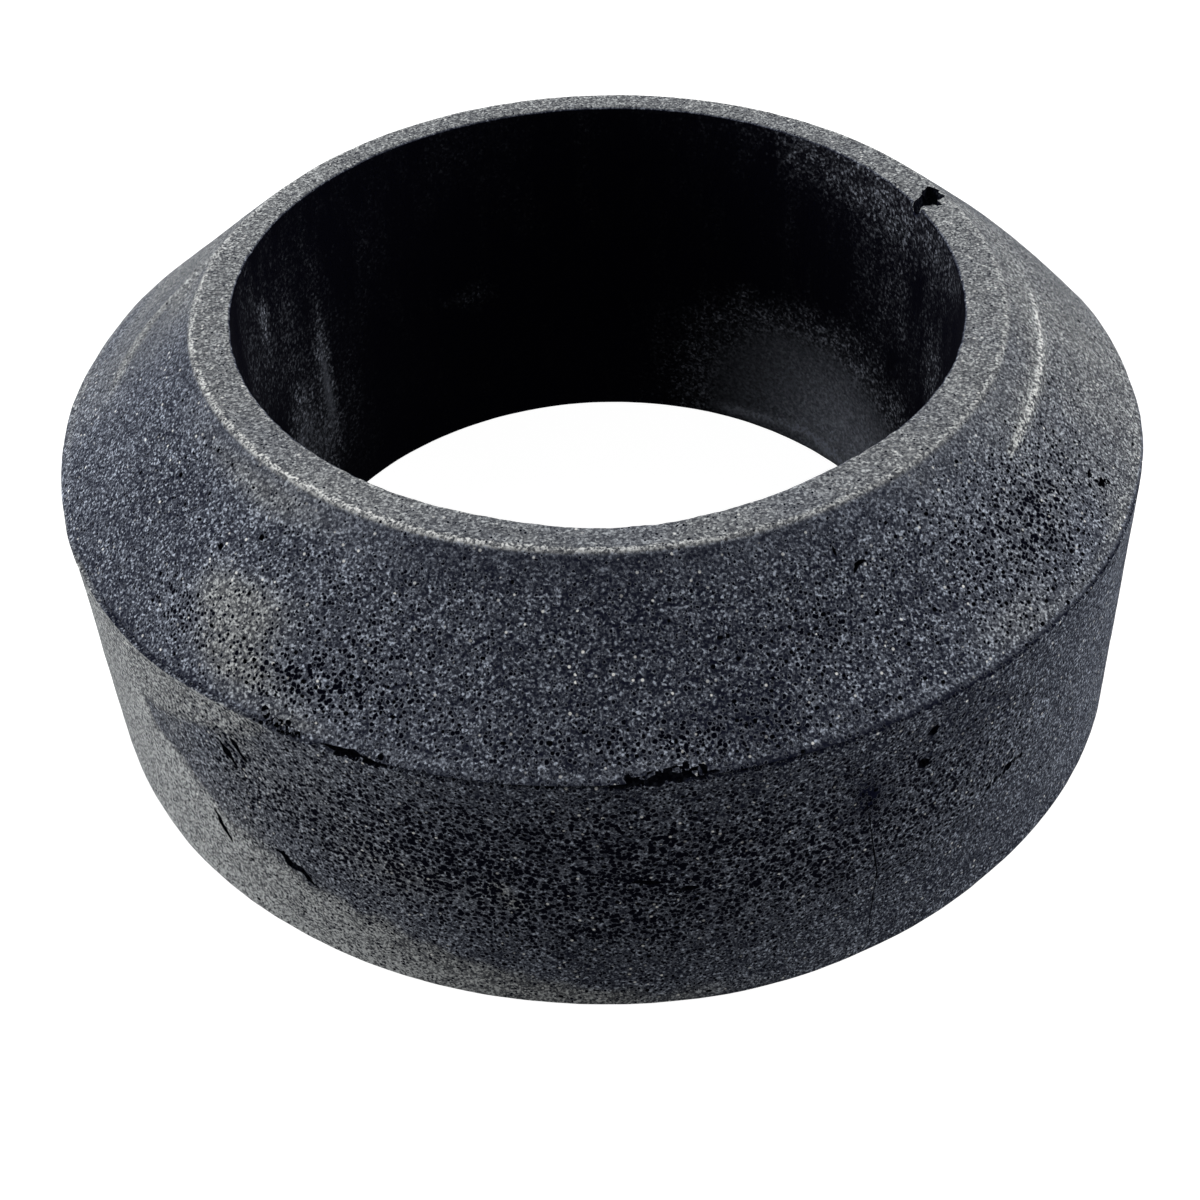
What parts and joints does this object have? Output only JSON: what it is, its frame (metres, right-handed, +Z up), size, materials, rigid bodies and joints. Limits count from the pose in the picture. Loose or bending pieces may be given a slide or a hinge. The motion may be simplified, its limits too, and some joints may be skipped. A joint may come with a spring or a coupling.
{
  "type": "closet spud gasket",
  "caption": "Moulded sponge-rubber ring with a flat base, a bevelled top and a straight bore, which seals a cistern's outlet to a toilet bowl.",
  "frame": {"origin": "centre of the flat base, on the surface that the gasket rests on", "axes": "+Z up along the bore, from the flat base to the narrow rim; +X to the right and -Y to the front in the picture's view"},
  "size_m": [0.0902, 0.0902, 0.0337],
  "materials": {
    "sponge_rubber": "dull, finely porous, dusty dark grey sponge rubber"
  },
  "bodies": {
    "root": {"spud_gasket": "sponge_rubber"}
  },
  "joints": []
}
